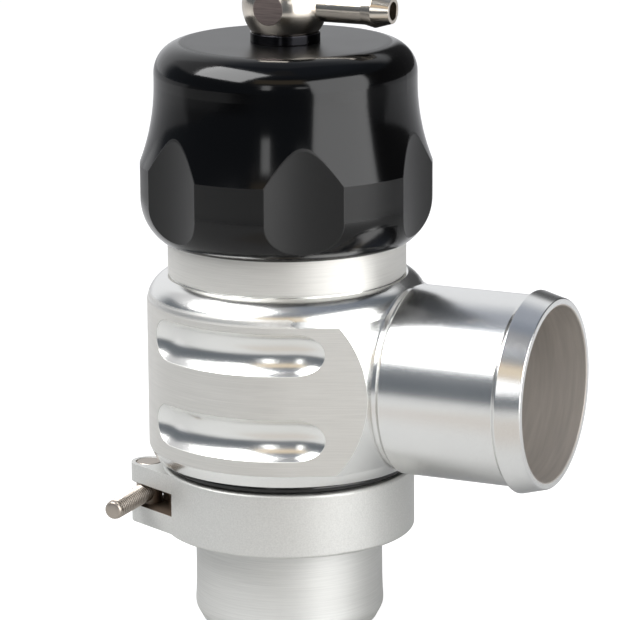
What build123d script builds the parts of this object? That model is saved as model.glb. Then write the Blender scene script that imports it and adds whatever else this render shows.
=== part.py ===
from build123d import *
from math import acos, atan2, cos, degrees, hypot, radians, sin, sqrt, tan
import os

# Blow off valve: an inlet tube and a valve body clamped together at a V flange, a side outlet,
# a sprung piston that lifts off its seat, and a screwed cap that sets the spring.
# Millimetres, +Z up, origin at the centre of the inlet tube's rim, outlet towards +X.

os.makedirs("parts", exist_ok=True)

# Clearances
fit_gap = 0.05  # radial, between machined pieces that slide, turn or screw together
face_gap = 0.05  # between faces that rest on each other
ring_gap = 0.06  # between an O-ring or guide ring and its groove
flange_gap = 0.06  # between the clamp's V groove and the flanges

# Inlet tube
bore_r = 16.9
inlet_outer_r = 18.85
inlet_length = 19.0  # rim to the clamp's lower face
inlet_bead_r = 19.2
inlet_bead_height = 3.0
inlet_rim_r = 17.7
inlet_bead_run = 2.6  # height over which the tube swells into the bead
inlet_step_z = 23.0  # bore narrows to the throat from here
throat_r = 16.4

# V flange joint and clamp ring
ring_height = 12.9
ring_wall = 2.45  # outside the V groove
ring_edge_fillet = 0.6
ring_inner_chamfer = 0.4
flange_r = 22.6
flange_edge = 1.2  # half height of the flange pair at its rim
flange_angle = 20.0
neck_r = 20.6
neck_show = 2.1  # neck left in sight between clamp and body
lip_clearance = 0.3
groove_clearance = 0.3
hub_rise = 1.5  # inlet hub starts this far above the clamp's lower face
hub_chamfer = 0.8
split_width = 5.0

# Clamp ears, trunnions and screw
ear_stand_out = 0.95  # ear's middle beyond the ring's outer face
ear_y = 10.4
ear_r = 3.6
ear_setback = 0.4  # ears are this much lower than the ring at each face
ear_meets_ring_angle = 227.4  # where the ear's outer face runs into the ring
ear_root_depth = 2.15  # ears start this far inside the ring's outer face
trunnion_r = 2.65
slot_height = 4.6
slot_floor_wall = 1.15
slot_ledge_y = 8.6  # nearer the split than this, the slot is only as deep as the screw needs
slot_screw_gap = 0.2
screw_r = 1.95
screw_length = 40.6
screw_head_r = 3.5
screw_head_length = 4.0
head_clearance = 0.25  # round the head, in its spot face
screw_socket_across = 3.0
screw_socket_depth = 2.0
screw_tip_chamfer = 0.6

# Valve body
body_r = 28.0
body_height = 32.2  # lower edge to the top of the straight wall
body_foot_r = 26.7
body_foot_height = 2.6
body_foot_arc_r = 9.0
shoulder_break_height = 1.2  # slightly tapered edge below the shoulder's arc
shoulder_break = 0.3
shoulder_height = 4.9
shoulder_arc_r = 6.3
shoulder_ledge = 0.4
collar_r = 23.75
foot_groove_depth = 0.3
foot_groove_width = 0.5
collar_show = 7.6  # collar in sight below the cap
collar_hidden = 9.3  # collar inside the cap
thread_neck_r = 23.0
chamber_r = 21.0
floor_thickness = 1.2
seat_lip_width = 0.8
seat_lip_height = 0.5
neck_mouth_chamfer = 0.6

# Side port and outlet tube
outlet_height = 17.83  # outlet axis above the body's lower edge
port_r = 16.4
boss_face_x = 26.0
boss_half_width = 18.77
dome_r = 38.0
dome_root_r = 18.47
port_lip = 0.6  # port shoulder beyond the chamber wall
spigot_r = 18.0
outlet_outer_r = 18.84
outlet_bore_r = 17.3
outlet_reach = 57.3  # valve axis to the outlet's rim
outlet_rim_r = 18.72
outlet_bead_r = 20.0
outlet_bead_length = 4.9
outlet_bead_rise = 0.9
outlet_bead_round = 0.35
outlet_root_groove = 1.1
outlet_root_chamfer = 0.8
outlet_step_x = 31.0
outlet_ring_groove_offset = 1.0
outlet_ring_groove_width = 1.6
outlet_ring_groove_depth = 0.95
outlet_ring_wire_r = 0.42

# Finger grooves on both flanks of the body
finger_width = 8.5
finger_depth = 2.0
finger_lower_height = 9.7  # groove's middle above the body's lower edge
finger_upper_height = 26.8
finger_azimuth = 267.7
finger_sweep = 80.1  # end to end on the round wall
finger_mill_r = 12.0  # upright disc mill, whose arc the groove's ends follow

# O-rings at the flange and under the cap
flange_ring_wire_r = 0.72
flange_ring_r = 19.0
flange_groove_width = 2.0
flange_groove_depth = 1.55
cap_ring_wire_r = 0.78
cap_groove_depth = 1.6
cap_groove_width = 2.0
cap_groove_rise = 7.0  # above the cap's lower edge

# Piston
lift = 15.0
piston_r = 20.6
crown_thickness = 4.0
piston_wall = 3.4
piston_guide_length = 11.72  # piston above the top of the port
piston_floor_gap = 0.75
piston_edge_chamfer = 0.6
spring_boss_r = 6.0
spring_boss_height = 3.5
top_land = 1.25
guide_ring_width = 2.5
guide_groove_depth = 1.3
guide_split = 1.0
land_width = 1.0
seal_groove_width = 2.0
piston_seal_wire_r = 0.76
face_seal_outer_r = 18.7
face_seal_inner_r = 12.95
face_seal_thickness = 1.45
retainer_r = 15.8
retainer_thickness = 1.15
seal_screw_r = 2.45
seal_screw_length = 7.3
seal_screw_head_r = 4.6
seal_screw_head_height = 2.6
seal_screw_socket_across = 3.0
seal_screw_socket_depth = 1.4

# Spring and its upper seat
spring_wire_r = 1.1
spring_r = 13.5
spring_turns = 9.0
spring_seat_r = 21.6
spring_seat_thickness = 2.5
spring_seat_boss_r = 11.6
spring_seat_boss_height = 3.0
spring_seat_hole_r = 3.0

# Cap
cap_travel_down = 6.0
thread_run_out = 0.5
neck_top_margin = 5.55  # body neck above the lifted piston
head_room = 13.0  # body neck to the cap's ceiling
cap_wall = 4.0
cap_skirt_wall = 4.95  # from the bore out to the skirt
cap_skirt_height = 7.2
cap_foot_land = 0.71  # foot face between the bore's chamfer and the outer edge
cap_foot_height = 7.8
cap_flare_drop = 2.95  # skirt's radius less the crown's
cap_crown_height = 2.0
cap_top_arc_r = 6.0
cap_bore_clearance = 0.25
cap_upper_bore_r = 22.3
cap_mouth_chamfer = 0.5
scallop_count = 6
scallop_r = 30.0
scallop_wall_share = 0.586  # of the skirt's wall left under a scallop
scallop_azimuth = 2.0
cap_top_hole_r = 5.0

# Vacuum fitting, washers and hollow bolt
ball_r = 8.47
ball_flat_below = 5.3  # ball centre down to the lower flat
ball_flat_above = 5.3
ball_side_flat = 7.91  # ball centre to the sawn flat
washer_r = 6.9
lower_washer_thickness = 2.0
upper_washer_thickness = 1.5
barb_stem_r = 3.0
barb_bead_start = 17.4
barb_crest_x = 19.6
barb_crest_r = 3.5
barb_tip_x = 23.1
barb_tip_r = 2.5
barb_bore_r = 1.8
bolt_head_across = 14.0
bolt_head_height = 5.5
bolt_head_chamfer = 0.9
bolt_bore_r = 2.5
bolt_bore_stop = 3.2  # bore ends this far above the ball's centre
bolt_cross_hole_r = 1.5
bolt_end_clearance = 0.3

# Levels along the valve axis
ring_top = inlet_length + ring_height
joint_z = inlet_length + ring_height / 2
body_bottom = ring_top + neck_show
chamber_floor = body_bottom + floor_thickness
seat_z = chamber_floor + seat_lip_height
outlet_z = body_bottom + outlet_height
body_top = body_bottom + body_height
shoulder_top = body_top + shoulder_height
cap_bottom = shoulder_top + collar_show
collar_top = cap_bottom + collar_hidden
port_top = outlet_z + port_r
piston_bottom = chamber_floor + piston_floor_gap
piston_top = port_top + piston_guide_length
crown_top = piston_bottom + crown_thickness
neck_top = piston_top + lift + neck_top_margin
ceiling_z = neck_top + head_room
cap_top = ceiling_z + cap_wall
cap_thread_start = collar_top + cap_travel_down + thread_run_out
cap_thread_end = neck_top + cap_travel_down + thread_run_out
ball_z = cap_top + lower_washer_thickness + ball_flat_below
upper_flat_z = ball_z + ball_flat_above
head_bottom = upper_flat_z + upper_washer_thickness


def flange_half_height(radius):
    """Half height of the flange pair at a radius, on its tapered flank."""
    return flange_edge + (flange_r - radius) * tan(radians(flange_angle))


# Inlet adaptor: hose tube with its bead, and the lower V flange with an O-ring groove
flange_groove_in = flange_ring_r - flange_groove_width / 2
flange_groove_out = flange_ring_r + flange_groove_width / 2

with BuildPart() as inlet_adaptor:
    with BuildSketch(Plane.XZ):
        with BuildLine():
            rim = Line((bore_r, 0), (inlet_rim_r, 0))
            taper = Line(rim @ 1, (inlet_bead_r, inlet_bead_height))
            swell = Line(taper @ 1, (inlet_outer_r, inlet_bead_height + inlet_bead_run))
            Polyline(
                swell @ 1,
                (inlet_outer_r, inlet_length + hub_rise),
                (neck_r - hub_chamfer, inlet_length + hub_rise),
                (neck_r, inlet_length + hub_rise + hub_chamfer),
                (neck_r, joint_z - flange_half_height(neck_r)),
                (flange_r, joint_z - flange_edge),
                (flange_r, joint_z),
                (flange_groove_out, joint_z),
                (flange_groove_out, joint_z - flange_groove_depth),
                (flange_groove_in, joint_z - flange_groove_depth),
                (flange_groove_in, joint_z),
                (throat_r, joint_z),
                (throat_r, inlet_step_z + bore_r - throat_r),
                (bore_r, inlet_step_z),
                (bore_r, 0),
            )
        make_face()
    revolve(axis=Axis.Z)
    bead_edge = inlet_adaptor.edges().filter_by(GeomType.CIRCLE)
    bead_edge = bead_edge.filter_by_position(Axis.Z, inlet_bead_height - 0.01, inlet_bead_height + 0.01)
    fillet(bead_edge, radius=inlet_bead_height / 2)
inlet_adaptor.part.label = "inlet_adaptor"
export_step(inlet_adaptor.part, "parts/inlet_adaptor.step")

# O-ring between the two flanges
with BuildPart() as flange_o_ring:
    with BuildSketch(Plane.XZ):
        with Locations((flange_ring_r, joint_z - flange_groove_depth + ring_gap + flange_ring_wire_r)):
            Circle(flange_ring_wire_r)
    revolve(axis=Axis.Z)
flange_o_ring.part.label = "flange_o_ring"
export_step(flange_o_ring.part, "parts/flange_o_ring.step")

# Clamp ring: one split ring with a V groove inside and an ear on each side of the split
lip_r = neck_r + lip_clearance
clamp_groove_r = flange_r + groove_clearance
ring_outer_r = clamp_groove_r + ring_wall
ear_root_r = ring_outer_r - ear_root_depth
slot_floor_r = ring_outer_r - slot_floor_wall
ear_x = -ring_outer_r - ear_stand_out
slot_ledge_depth = -ear_x - screw_r - slot_screw_gap
lip_half = flange_half_height(lip_r) + flange_gap
groove_half = flange_half_height(clamp_groove_r) + flange_gap
ear_reach_x = ring_outer_r * cos(radians(ear_meets_ring_angle))
ear_reach_y = ring_outer_r * sin(radians(ear_meets_ring_angle))
ear_run = hypot(ear_reach_x - ear_x, ear_reach_y + ear_y)
ear_face_angle = degrees(atan2(ear_reach_y + ear_y, ear_reach_x - ear_x))
ear_touch_angle = ear_face_angle - degrees(acos(ear_r / ear_run))
ear_touch_x = ear_x + ear_r * cos(radians(ear_touch_angle))
ear_touch_y = -ear_y + ear_r * sin(radians(ear_touch_angle))
ear_height = ring_height - 2 * ear_setback
slot_reach = 2 * ring_outer_r
slot_end_angle = radians(ear_meets_ring_angle)
slot_end_x = slot_reach * cos(slot_end_angle)
slot_end_y = slot_reach * sin(slot_end_angle)

with BuildPart() as clamp_ring:
    with BuildSketch(Plane.XZ):
        with BuildLine():
            Polyline(
                (lip_r, inlet_length),
                (ring_outer_r, inlet_length),
                (ring_outer_r, ring_top),
                (lip_r, ring_top),
                (lip_r, joint_z + lip_half),
                (clamp_groove_r, joint_z + groove_half),
                (clamp_groove_r, joint_z - groove_half),
                (lip_r, joint_z - lip_half),
                close=True,
            )
        make_face()
    revolve(axis=Axis.Z)
    lip_edges = clamp_ring.edges().filter_by(GeomType.CIRCLE).group_by(SortBy.RADIUS)[0]
    chamfer(lip_edges.group_by(Axis.Z)[0] + lip_edges.group_by(Axis.Z)[-1], length=ring_inner_chamfer)
    outer_edges = clamp_ring.edges().filter_by(GeomType.CIRCLE).group_by(SortBy.RADIUS)[-1]
    fillet(outer_edges, radius=ring_edge_fillet)
    with BuildSketch(Plane.XY.offset(inlet_length + ear_setback)) as ear_plan:
        with Locations((ear_x, -ear_y)):
            Circle(ear_r)
        with BuildLine():
            Polyline(
                (ear_touch_x, ear_touch_y),
                (ear_reach_x, ear_reach_y),
                (0, 0),
                (-ear_root_r, -split_width / 2),
                (ear_x, ear_r - ear_y),
                (ear_x, -ear_y),
                close=True,
            )
        make_face()
        mirror(about=Plane.XZ)
        Circle(ear_root_r, mode=Mode.SUBTRACT)
    extrude(amount=ear_height)
    with BuildSketch(Plane.XY.offset(inlet_length)):
        with Locations((-ring_outer_r, 0)):
            Rectangle(ring_outer_r, split_width)
    extrude(amount=ring_height, mode=Mode.SUBTRACT)
    with BuildSketch(Plane.XY.offset(joint_z - slot_height / 2)):
        with BuildLine():
            Polyline((0, 0), (slot_end_x, slot_end_y), (-slot_reach, 0), (slot_end_x, -slot_end_y), close=True)
        make_face()
        Circle(slot_floor_r, mode=Mode.SUBTRACT)
        Rectangle(2 * slot_ledge_depth, 2 * slot_ledge_y, mode=Mode.SUBTRACT)
    extrude(amount=slot_height, mode=Mode.SUBTRACT)
    with BuildSketch(Plane.XY.offset(inlet_length)):
        with Locations((ear_x, -ear_y), (ear_x, ear_y)):
            Circle(trunnion_r + fit_gap)
    extrude(amount=ring_height, mode=Mode.SUBTRACT)
    with BuildSketch(Plane.XZ.offset(-ear_y - ear_r)):
        with Locations((ear_x, joint_z)):
            Circle(screw_head_r + head_clearance)
    extrude(amount=-ring_outer_r, mode=Mode.SUBTRACT)
clamp_ring.part.label = "clamp_ring"
export_step(clamp_ring.part, "parts/clamp_ring.step")

# Trunnions: upright barrels in the ears that the clamp screw passes through
for trunnion_name, trunnion_y in (("clamp_trunnion_front", -ear_y), ("clamp_trunnion_rear", ear_y)):
    with BuildPart() as clamp_trunnion:
        with BuildSketch(Plane.XY.offset(inlet_length + ear_setback)):
            with Locations((ear_x, trunnion_y)):
                Circle(trunnion_r)
        extrude(amount=ear_height)
        with BuildSketch(Plane.XZ.offset(-trunnion_y)):
            with Locations((ear_x, joint_z)):
                Circle(screw_r + fit_gap)
        extrude(amount=trunnion_r, both=True, mode=Mode.SUBTRACT)
    clamp_trunnion.part.label = trunnion_name
    export_step(clamp_trunnion.part, f"parts/{trunnion_name}.step")

# Clamp screw: head against the rear ear, tip standing out past the front ear
head_y = ear_y + ear_r + face_gap
with BuildPart() as clamp_screw:
    with BuildSketch(Plane.XZ.offset(-head_y)):
        with Locations((ear_x, joint_z)):
            Circle(screw_head_r)
    extrude(amount=-screw_head_length)
    fillet(clamp_screw.edges().group_by(Axis.Y)[-1], radius=screw_tip_chamfer)
    with BuildSketch(Plane.XZ.offset(-head_y)):
        with Locations((ear_x, joint_z)):
            Circle(screw_r)
    extrude(amount=screw_length)
    chamfer(clamp_screw.edges().group_by(Axis.Y)[0], length=screw_tip_chamfer)
    with BuildSketch(Plane.XZ.offset(-head_y - screw_head_length)):
        with Locations((ear_x, joint_z)):
            RegularPolygon(screw_socket_across / 2, 6, major_radius=False)
    extrude(amount=screw_socket_depth, mode=Mode.SUBTRACT)
clamp_screw.part.label = "clamp_screw"
export_step(clamp_screw.part, "parts/clamp_screw.step")

# Valve body: neck and upper flange, round barrel with its boss, collar and threaded neck
ledge_r = collar_r + shoulder_ledge
boss_corner_r = hypot(boss_face_x, boss_half_width)
boss_touch = atan2(boss_half_width, boss_face_x) + acos(body_r / boss_corner_r)
boss_touch_x = body_r * cos(boss_touch)
boss_touch_y = body_r * sin(boss_touch)
dome_centre_x = boss_face_x - sqrt(dome_r**2 - dome_root_r**2)
port_shoulder_x = chamber_r + port_lip
finger_ball_r = ((finger_width / 2) ** 2 + finger_depth**2) / (2 * finger_depth)
finger_centre_r = body_r - finger_depth + finger_ball_r
finger_mill_x = body_r - finger_depth + finger_mill_r
finger_chord = body_r**2 + finger_mill_x**2 - finger_mill_r**2
finger_end = degrees(acos(finger_chord / (2 * body_r * finger_mill_x)))
finger_run = finger_sweep - 2 * finger_end
outlet_axis = Axis((0, 0, outlet_z), (1, 0, 0))
outlet_plane = Plane(origin=(0, 0, outlet_z), x_dir=(1, 0, 0), z_dir=(0, -1, 0))
cap_groove_z = cap_bottom + cap_groove_rise

with BuildPart() as around_dome:
    with BuildSketch(Plane.XY.offset(outlet_z)):
        with BuildLine():
            crown_point = (0, sqrt(dome_r**2 - dome_centre_x**2))
            dome_arc = RadiusArc((boss_face_x, dome_root_r), crown_point, -dome_r)
            Polyline(
                dome_arc @ 1,
                (0, 2 * body_r),
                (2 * body_r, 2 * body_r),
                (2 * body_r, 0),
                (boss_face_x, 0),
                dome_arc @ 0,
            )
        make_face()
    revolve(axis=outlet_axis)

with BuildPart() as finger_cutter:
    for flank_azimuth in (finger_azimuth, -finger_azimuth):
        start = radians(flank_azimuth - finger_run / 2)
        finish = radians(flank_azimuth + finger_run / 2)
        for finger_z in (body_bottom + finger_lower_height, body_bottom + finger_upper_height):
            start_plane = Plane(
                origin=(0, 0, finger_z),
                x_dir=(cos(start), sin(start), 0),
                z_dir=(sin(start), -cos(start), 0),
            )
            with BuildSketch(start_plane):
                with Locations((finger_centre_r, 0)):
                    Circle(finger_ball_r)
            revolve(axis=Axis.Z, revolution_arc=finger_run)
            for end_angle, turning in ((start, 1), (finish, -1)):
                end_plane = Plane(
                    origin=(0, 0, finger_z),
                    x_dir=(cos(end_angle), sin(end_angle), 0),
                    z_dir=(sin(end_angle), -cos(end_angle), 0),
                )
                with BuildSketch(end_plane):
                    with Locations((finger_centre_r, 0)):
                        Circle(finger_ball_r)
                mill_centre = (finger_mill_x * cos(end_angle), finger_mill_x * sin(end_angle), finger_z)
                revolve(axis=Axis(mill_centre, (0, 0, turning)), revolution_arc=180)

with BuildPart() as valve_body:
    with BuildSketch(Plane.XY.offset(body_bottom + body_foot_height)):
        Circle(body_r)
        with BuildLine():
            Polyline(
                (0, 0),
                (boss_touch_x, boss_touch_y),
                (boss_face_x, boss_half_width),
                (boss_face_x, -boss_half_width),
                (boss_touch_x, -boss_touch_y),
                close=True,
            )
        make_face()
    extrude(amount=body_height - body_foot_height)
    with BuildSketch(Plane.XZ):
        with BuildLine():
            foot = RadiusArc((body_foot_r, body_bottom), (body_r, body_bottom + body_foot_height), -body_foot_arc_r)
            Polyline(foot @ 1, (0, body_bottom + body_foot_height), (0, body_bottom), foot @ 0)
        make_face()
        with BuildLine():
            edge_break = Line((body_r, body_top), (body_r - shoulder_break, body_top + shoulder_break_height))
            shoulder = RadiusArc(edge_break @ 1, (ledge_r, shoulder_top), -shoulder_arc_r)
            Polyline(shoulder @ 1, (0, shoulder_top), (0, body_top), edge_break @ 0)
        make_face()
    revolve(axis=Axis.Z)
    add(around_dome.part, mode=Mode.SUBTRACT)
    with BuildSketch(Plane.XZ):
        with BuildLine():
            Polyline(
                (0, joint_z + face_gap),
                (flange_r, joint_z + face_gap),
                (flange_r, joint_z + flange_edge),
                (neck_r, joint_z + flange_half_height(neck_r)),
                (neck_r, body_bottom),
                (neck_r, body_bottom + face_gap),
                (0, body_bottom + face_gap),
                close=True,
            )
        make_face()
        with BuildLine():
            Polyline(
                (0, shoulder_top - foot_groove_width),
                (collar_r - foot_groove_depth, shoulder_top - foot_groove_width),
                (collar_r - foot_groove_depth, shoulder_top + foot_groove_width),
                (collar_r, shoulder_top + foot_groove_width),
                (collar_r, cap_groove_z - cap_groove_width / 2),
                (collar_r - cap_groove_depth, cap_groove_z - cap_groove_width / 2),
                (collar_r - cap_groove_depth, cap_groove_z + cap_groove_width / 2),
                (collar_r, cap_groove_z + cap_groove_width / 2),
                (collar_r, collar_top),
                (thread_neck_r, collar_top),
                (thread_neck_r, neck_top - neck_mouth_chamfer),
                (thread_neck_r - neck_mouth_chamfer, neck_top),
                (0, neck_top),
                close=True,
            )
        make_face()
    revolve(axis=Axis.Z)
    with BuildSketch(Plane.XZ):
        with BuildLine():
            Polyline(
                (0, joint_z),
                (throat_r, joint_z),
                (throat_r, seat_z),
                (throat_r + seat_lip_width, seat_z),
                (throat_r + seat_lip_width, chamber_floor),
                (chamber_r, chamber_floor),
                (chamber_r, neck_top),
                (0, neck_top),
                close=True,
            )
        make_face()
    revolve(axis=Axis.Z, mode=Mode.SUBTRACT)
    with BuildSketch(Plane.YZ):
        with Locations((0, outlet_z)):
            Circle(port_r)
    extrude(amount=boss_face_x, mode=Mode.SUBTRACT)
    with BuildSketch(Plane.YZ.offset(port_shoulder_x)):
        with Locations((0, outlet_z)):
            Circle(spigot_r + fit_gap)
    extrude(amount=boss_face_x - port_shoulder_x, mode=Mode.SUBTRACT)
    add(finger_cutter.part, mode=Mode.SUBTRACT)
valve_body.part.label = "valve_body"
export_step(valve_body.part, "parts/valve_body.step")

# Outlet tube: spigot in the body's port, groove at its root, hose bead at its rim
tube_start_x = boss_face_x + outlet_root_groove
bead_start_x = outlet_reach - outlet_bead_length - outlet_bead_rise
crest_x = outlet_reach - outlet_bead_length
spigot_start_x = port_shoulder_x + face_gap
outlet_groove_x = spigot_start_x + outlet_ring_groove_offset
outlet_ring_x = outlet_groove_x + outlet_ring_groove_width / 2

with BuildPart() as outlet_tube:
    with BuildSketch(outlet_plane):
        with BuildLine():
            Polyline(
                (spigot_start_x, port_r),
                (spigot_start_x, spigot_r),
                (outlet_groove_x, spigot_r),
                (outlet_groove_x, spigot_r - outlet_ring_groove_depth),
                (outlet_groove_x + outlet_ring_groove_width, spigot_r - outlet_ring_groove_depth),
                (outlet_groove_x + outlet_ring_groove_width, spigot_r),
                (tube_start_x, spigot_r),
                (tube_start_x + outlet_root_chamfer, outlet_outer_r),
                (bead_start_x, outlet_outer_r),
                (crest_x, outlet_bead_r),
                (outlet_reach, outlet_rim_r),
                (outlet_reach, outlet_bore_r),
                (outlet_step_x + outlet_bore_r - port_r, outlet_bore_r),
                (outlet_step_x, port_r),
                close=True,
            )
        make_face()
    revolve(axis=outlet_axis)
    crest_edge = outlet_tube.edges().filter_by(GeomType.CIRCLE).group_by(SortBy.RADIUS)[-1]
    fillet(crest_edge, radius=outlet_bead_round)
outlet_tube.part.label = "outlet_tube"
export_step(outlet_tube.part, "parts/outlet_tube.step")

# O-ring on the outlet tube's spigot
with BuildPart() as outlet_o_ring:
    with BuildSketch(outlet_plane):
        with Locations((outlet_ring_x, spigot_r - outlet_ring_groove_depth + ring_gap + outlet_ring_wire_r)):
            Circle(outlet_ring_wire_r)
    revolve(axis=outlet_axis)
outlet_o_ring.part.label = "outlet_o_ring"
export_step(outlet_o_ring.part, "parts/outlet_o_ring.step")

# O-ring on the collar, inside the cap's skirt
with BuildPart() as cap_o_ring:
    with BuildSketch(Plane.XZ):
        with Locations((collar_r - cap_groove_depth + ring_gap + cap_ring_wire_r, cap_groove_z)):
            Circle(cap_ring_wire_r)
    revolve(axis=Axis.Z)
cap_o_ring.part.label = "cap_o_ring"
export_step(cap_o_ring.part, "parts/cap_o_ring.step")

# Piston: a deep cup with two guide ring grooves, a seal groove and a recess for the face seal
groove_r = piston_r - guide_groove_depth
upper_guide_z = piston_top - top_land - guide_ring_width / 2
piston_seal_z = upper_guide_z - guide_ring_width / 2 - land_width - seal_groove_width / 2
lower_guide_z = piston_seal_z - seal_groove_width / 2 - land_width - guide_ring_width / 2
face_seal_bottom = seat_z + face_gap
recess_top = face_seal_bottom + face_seal_thickness + face_gap
recess_r = face_seal_outer_r + ring_gap
retainer_top = face_seal_bottom + face_seal_thickness

with BuildPart() as piston:
    with BuildSketch(Plane.XZ):
        with BuildLine():
            Polyline(
                (0, recess_top),
                (recess_r, recess_top),
                (recess_r, piston_bottom),
                (piston_r - piston_edge_chamfer, piston_bottom),
                (piston_r, piston_bottom + piston_edge_chamfer),
                (piston_r, piston_top - piston_edge_chamfer),
                (piston_r - piston_edge_chamfer, piston_top),
                (piston_r - piston_wall, piston_top),
                (piston_r - piston_wall, crown_top),
                (spring_boss_r, crown_top),
                (spring_boss_r, crown_top + spring_boss_height),
                (0, crown_top + spring_boss_height),
                close=True,
            )
        make_face()
        for ring_z, ring_width in (
            (lower_guide_z, guide_ring_width),
            (piston_seal_z, seal_groove_width),
            (upper_guide_z, guide_ring_width),
        ):
            with Locations((piston_r, ring_z)):
                Rectangle(2 * guide_groove_depth, ring_width + 2 * ring_gap, mode=Mode.SUBTRACT)
    revolve(axis=Axis.Z)
    with BuildSketch(Plane.XY.offset(recess_top)):
        Circle(seal_screw_r + fit_gap)
    extrude(amount=crown_top + spring_boss_height - recess_top, mode=Mode.SUBTRACT)
piston.part.label = "piston"
export_step(piston.part, "parts/piston.step")

# Guide rings: split bearing strips round the piston
for guide_name, guide_z in (("guide_ring_lower", lower_guide_z), ("guide_ring_upper", upper_guide_z)):
    with BuildPart() as guide_ring:
        with BuildSketch(Plane.XY.offset(guide_z - guide_ring_width / 2)):
            Circle(chamber_r - fit_gap)
            Circle(groove_r + fit_gap, mode=Mode.SUBTRACT)
            with Locations((-chamber_r, 0)):
                Rectangle(2 * (chamber_r - groove_r + ring_gap), guide_split, mode=Mode.SUBTRACT)
        extrude(amount=guide_ring_width)
    guide_ring.part.label = guide_name
    export_step(guide_ring.part, f"parts/{guide_name}.step")

# Piston seal between the guide rings
with BuildPart() as piston_seal:
    with BuildSketch(Plane.XZ):
        with Locations((groove_r + ring_gap + piston_seal_wire_r, piston_seal_z)):
            Circle(piston_seal_wire_r)
    revolve(axis=Axis.Z)
piston_seal.part.label = "piston_seal"
export_step(piston_seal.part, "parts/piston_seal.step")

# Face seal: the flat ring that closes on the seat lip
with BuildPart() as face_seal:
    with BuildSketch(Plane.XY.offset(face_seal_bottom)):
        Circle(face_seal_outer_r)
        Circle(face_seal_inner_r, mode=Mode.SUBTRACT)
    extrude(amount=face_seal_thickness)
face_seal.part.label = "face_seal"
export_step(face_seal.part, "parts/face_seal.step")

# Seal retainer: flanged disc that holds the face seal to the piston
with BuildPart() as seal_retainer:
    with BuildSketch(Plane.XY.offset(face_seal_bottom - face_gap)):
        Circle(retainer_r)
    extrude(amount=-retainer_thickness)
    with BuildSketch(Plane.XY.offset(face_seal_bottom - face_gap)):
        Circle(face_seal_inner_r - fit_gap)
    extrude(amount=retainer_top - face_seal_bottom + face_gap)
    with BuildSketch(Plane.XY.offset(face_seal_bottom - face_gap - retainer_thickness)):
        Circle(seal_screw_r + fit_gap)
    extrude(amount=retainer_thickness + face_seal_thickness + face_gap, mode=Mode.SUBTRACT)
seal_retainer.part.label = "seal_retainer"
export_step(seal_retainer.part, "parts/seal_retainer.step")

# Seal screw: low head under the retainer, shank up into the piston's boss
seal_head_top = face_seal_bottom - retainer_thickness - 2 * face_gap
with BuildPart() as seal_screw:
    with BuildSketch(Plane.XY.offset(seal_head_top - seal_screw_head_height)):
        Circle(seal_screw_head_r)
    extrude(amount=seal_screw_head_height)
    fillet(seal_screw.edges().group_by(Axis.Z)[0], radius=seal_screw_head_height / 3)
    with BuildSketch(Plane.XY.offset(seal_head_top)):
        Circle(seal_screw_r)
    extrude(amount=seal_screw_length)
    with BuildSketch(Plane.XY.offset(seal_head_top - seal_screw_head_height)):
        RegularPolygon(seal_screw_socket_across / 2, 6, major_radius=False)
    extrude(amount=seal_screw_socket_depth, mode=Mode.SUBTRACT)
seal_screw.part.label = "seal_screw"
export_step(seal_screw.part, "parts/seal_screw.step")

# Spring between the piston's crown and the upper seat
seat_plate_top = ceiling_z - face_gap
seat_plate_bottom = seat_plate_top - spring_seat_thickness
spring_start = crown_top + face_gap + spring_wire_r
spring_length = seat_plate_bottom - face_gap - spring_wire_r - spring_start

with BuildPart() as spring:
    with BuildLine(Plane.XY.offset(spring_start)) as coil:
        Helix(pitch=spring_length / spring_turns, height=spring_length, radius=spring_r)
    with BuildSketch(Plane(origin=coil.line @ 0, z_dir=coil.line % 0)):
        Circle(spring_wire_r)
    sweep(path=coil.line, is_frenet=True)
spring.part.label = "spring"
export_step(spring.part, "parts/spring.step")

# Upper spring seat: plate under the cap's ceiling with a boss inside the spring
with BuildPart() as spring_seat:
    with BuildSketch(Plane.XY.offset(seat_plate_bottom)):
        Circle(spring_seat_r)
    extrude(amount=spring_seat_thickness)
    with BuildSketch(Plane.XY.offset(seat_plate_bottom)):
        Circle(spring_seat_boss_r)
    extrude(amount=-spring_seat_boss_height)
    with BuildSketch(Plane.XY.offset(seat_plate_bottom - spring_seat_boss_height)):
        Circle(spring_seat_hole_r)
    extrude(amount=spring_seat_thickness + spring_seat_boss_height, mode=Mode.SUBTRACT)
spring_seat.part.label = "spring_seat"
export_step(spring_seat.part, "parts/spring_seat.step")

# Cap: scalloped skirt, flared waist and flat top, screwed onto the body's neck
cap_bore_r = collar_r + cap_bore_clearance
cap_skirt_r = cap_bore_r + cap_skirt_wall
cap_foot_r = cap_bore_r + cap_mouth_chamfer + cap_foot_land
cap_foot_flare = cap_skirt_r - cap_foot_r
cap_foot_arc_r = (cap_foot_height**2 + cap_foot_flare**2) / (2 * cap_foot_flare)
skirt_start = cap_bottom + cap_foot_height
skirt_end = skirt_start + cap_skirt_height
flare_end = cap_top - cap_top_arc_r - cap_crown_height
flare_r = ((flare_end - skirt_end) ** 2 + cap_flare_drop**2) / (2 * cap_flare_drop)
cap_crown_r = cap_skirt_r - cap_flare_drop
scallop_floor_r = cap_bore_r + scallop_wall_share * cap_skirt_wall

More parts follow.
